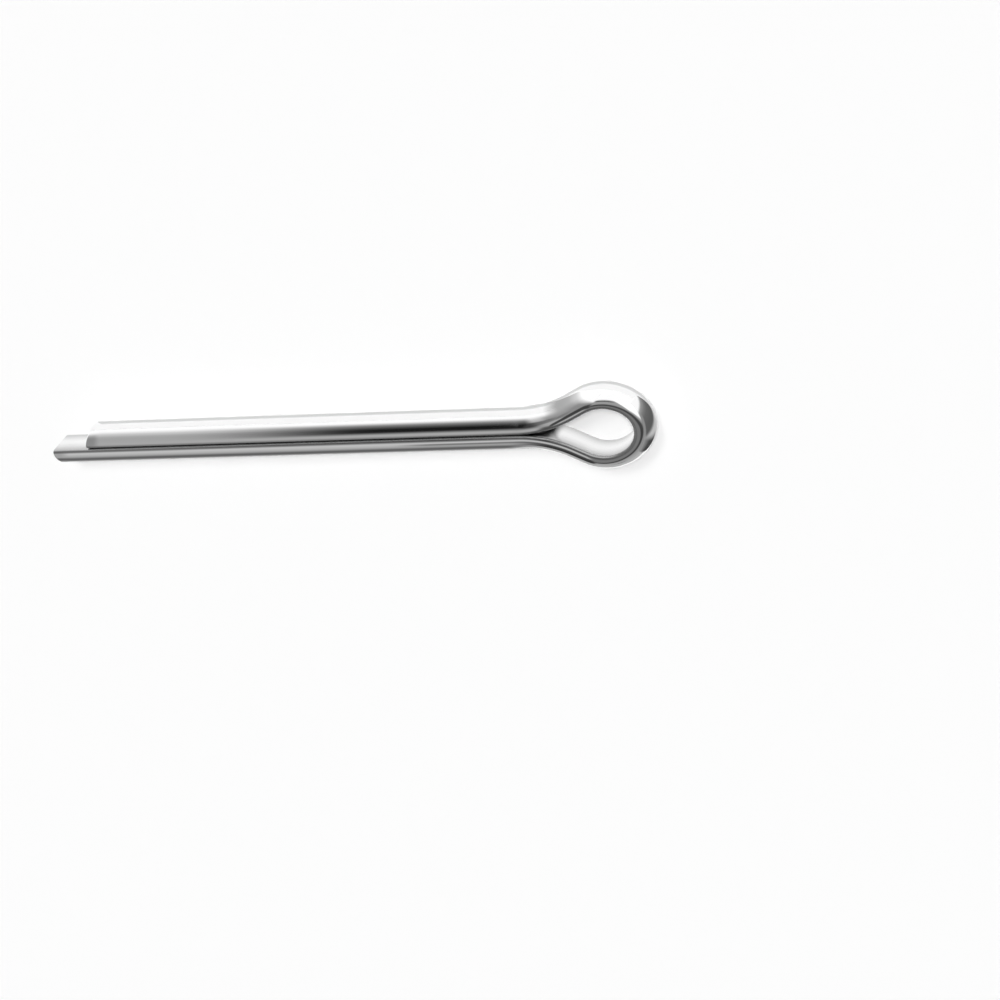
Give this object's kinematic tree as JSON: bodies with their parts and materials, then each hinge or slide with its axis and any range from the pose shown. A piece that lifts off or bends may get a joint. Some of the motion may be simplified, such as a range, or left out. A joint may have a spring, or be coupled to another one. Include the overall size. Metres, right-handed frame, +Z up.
{
  "type": "split cotter pin",
  "caption": "Split cotter pin bent from half-round steel wire: an open eye, and straight legs of unequal length that close into a round shank to lock a bolt or shaft through a cross hole.",
  "frame": {"origin": "middle of the pin's length and width, on the surface that it lies on", "axes": "+X along the shank towards the eye, +Y towards the side of the shorter leg, +Z up and square to the plane of the eye"},
  "size_m": [0.0868, 0.0126, 0.0056],
  "materials": {
    "bright_steel": "bright polished steel wire"
  },
  "bodies": {
    "root": {"split_pin": "bright_steel"}
  },
  "joints": []
}
